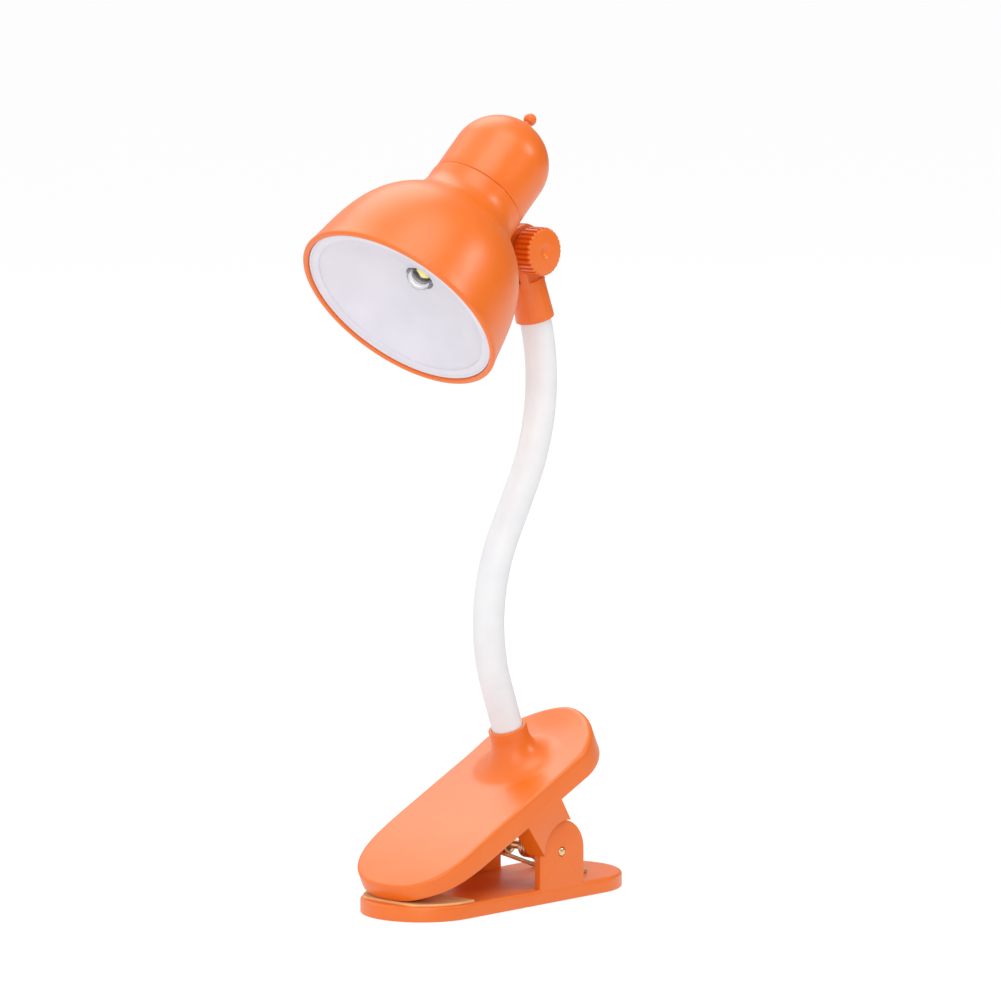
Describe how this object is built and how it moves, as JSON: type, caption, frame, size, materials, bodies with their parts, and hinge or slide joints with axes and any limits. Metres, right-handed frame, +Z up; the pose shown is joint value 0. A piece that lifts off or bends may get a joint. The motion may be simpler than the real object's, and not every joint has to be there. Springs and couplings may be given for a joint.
{
  "type": "clip-on reading lamp",
  "caption": "Clip-on reading lamp: sprung clip jaws, bendable neck, tilting bell-shaped shade with a lens and dish inside, and a battery cap behind it.",
  "frame": {"origin": "middle of the lower jaw's flat underside", "axes": "+Z up, +X from the mouth of the clip towards its finger tails, Y along the hinge pin; the neck and head lie in the XZ plane"},
  "size_m": [0.1056, 0.0624, 0.2239],
  "materials": {
    "orange_shell": "satin moulded",
    "grip_rubber": "matte",
    "pin_brass": "satin",
    "spring_wire": "plated wire",
    "screw_steel": "zinc plated",
    "ferrule_brass": "machined",
    "core_steel": "drawn",
    "white_sleeve": "matte silicone",
    "reflector_white": "satin white",
    "board_white": "solder mask",
    "led_phosphor": "matte",
    "led_clear": "clear",
    "resistor_black": "matte",
    "lead_red": "smooth",
    "holder_black": "matte",
    "contact_metal": "plated",
    "cell_steel": "bright"
  },
  "bodies": {
    "lower_jaw": {"lower_jaw": "orange_shell", "lower_grip_pad": "grip_rubber", "hinge_pin": "pin_brass", "torsion_spring": "spring_wire"},
    "upper_jaw": {"upper_jaw": "orange_shell", "upper_grip_pad": "grip_rubber", "neck_screw": "screw_steel", "neck_ferrule": "ferrule_brass", "neck_core_1": "core_steel", "neck_sleeve_1": "white_sleeve"},
    "neck_link_1": {"neck_core_2": "core_steel", "neck_sleeve_2": "white_sleeve"},
    "neck_link_2": {"neck_core_3": "core_steel", "neck_sleeve_3": "white_sleeve"},
    "neck_link_3": {"neck_core_4": "core_steel", "neck_sleeve_4": "white_sleeve"},
    "neck_link_4": {"neck_core_5": "core_steel", "neck_sleeve_5": "white_sleeve"},
    "neck_link_5": {"neck_core_6": "core_steel", "neck_sleeve_6": "white_sleeve"},
    "tilt_fork": {"neck_core_7": "core_steel", "neck_socket": "orange_shell", "friction_washers": "screw_steel", "tilt_nut": "screw_steel"},
    "tilt_knob": {"tilt_screw": "screw_steel", "tilt_knob": "orange_shell"},
    "head": {"lamp_shade": "orange_shell", "reflector": "reflector_white", "led_board": "board_white", "led_emitter": "led_phosphor", "led_lens": "led_clear", "led_resistor": "resistor_black", "board_screws": "screw_steel", "lead_wires": "lead_red", "battery_holder": "holder_black", "contact_spring": "contact_metal", "button_cell_1": "cell_steel", "button_cell_2": "cell_steel", "button_cell_3": "cell_steel"},
    "rear_cap": {"rear_cap": "orange_shell", "rear_contact": "contact_metal", "push_switch": "holder_black", "button_spring": "screw_steel"},
    "finial_button": {"finial_button": "orange_shell"}
  },
  "joints": [
    {"name": "jaw_open", "type": "hinge", "parent": "lower_jaw", "child": "upper_jaw", "pos_m": [0.0105, 0, 0.0142], "axis": [0, 1, 0], "range_deg": [0, 40], "stiffness_Nm_per_rad": 0.3, "springref_deg": -34.38, "deforming": ["torsion_spring"]},
    {"name": "neck_bend_1", "type": "hinge", "parent": "upper_jaw", "child": "neck_link_1", "pos_m": [0.00333, 0, 0.0565], "axis": [0, 1, 0], "range_deg": [-20, 20], "deforming": ["neck_sleeve_1"]},
    {"name": "neck_sway_1", "type": "hinge", "parent": "neck_link_1", "child": "neck_link_2", "pos_m": [-0.00109, 0, 0.07212], "axis": [0.9907, 0, 0.1357], "range_deg": [-20, 20], "deforming": ["neck_sleeve_2"]},
    {"name": "neck_bend_2", "type": "hinge", "parent": "neck_link_2", "child": "neck_link_3", "pos_m": [0.00061, 0, 0.09424], "axis": [0, 1, 0], "range_deg": [-20, 20], "deforming": ["neck_sleeve_3"]},
    {"name": "neck_sway_2", "type": "hinge", "parent": "neck_link_3", "child": "neck_link_4", "pos_m": [0.00887, 0, 0.11172], "axis": [0.8763, 0, -0.4818], "range_deg": [-20, 20], "deforming": ["neck_sleeve_4"]},
    {"name": "neck_bend_3", "type": "hinge", "parent": "neck_link_4", "child": "neck_link_5", "pos_m": [0.01749, 0, 0.12989], "axis": [0, 1, 0], "range_deg": [-20, 20], "deforming": ["neck_sleeve_5"]},
    {"name": "neck_sway_3", "type": "hinge", "parent": "neck_link_5", "child": "tilt_fork", "pos_m": [0.01994, 0, 0.1535], "axis": [0.9953, 0, 0.0967], "range_deg": [-20, 20], "deforming": ["neck_sleeve_6"]},
    {"name": "head_tilt", "type": "hinge", "parent": "tilt_fork", "child": "head", "pos_m": [0.01152, 0, 0.18509], "axis": [0, 1, 0], "range_deg": [-20, 75]},
    {"name": "knob_turn", "type": "hinge", "parent": "tilt_fork", "child": "tilt_knob", "pos_m": [0.01152, 0, 0.18509], "axis": [0, 1, 0], "range_deg": [0, 270]},
    {"name": "cap_twist", "type": "hinge", "parent": "head", "child": "rear_cap", "pos_m": [-0.00162, 0, 0.20579], "axis": [0.7314, 0, 0.682], "range_deg": [0, 30]},
    {"name": "button_press", "type": "slide", "parent": "rear_cap", "child": "finial_button", "axis": [-0.7314, 0, -0.682], "range_m": [0, 0.0009], "stiffness_N_per_m": 600, "springref_m": -0.001, "deforming": ["button_spring"]}
  ]
}
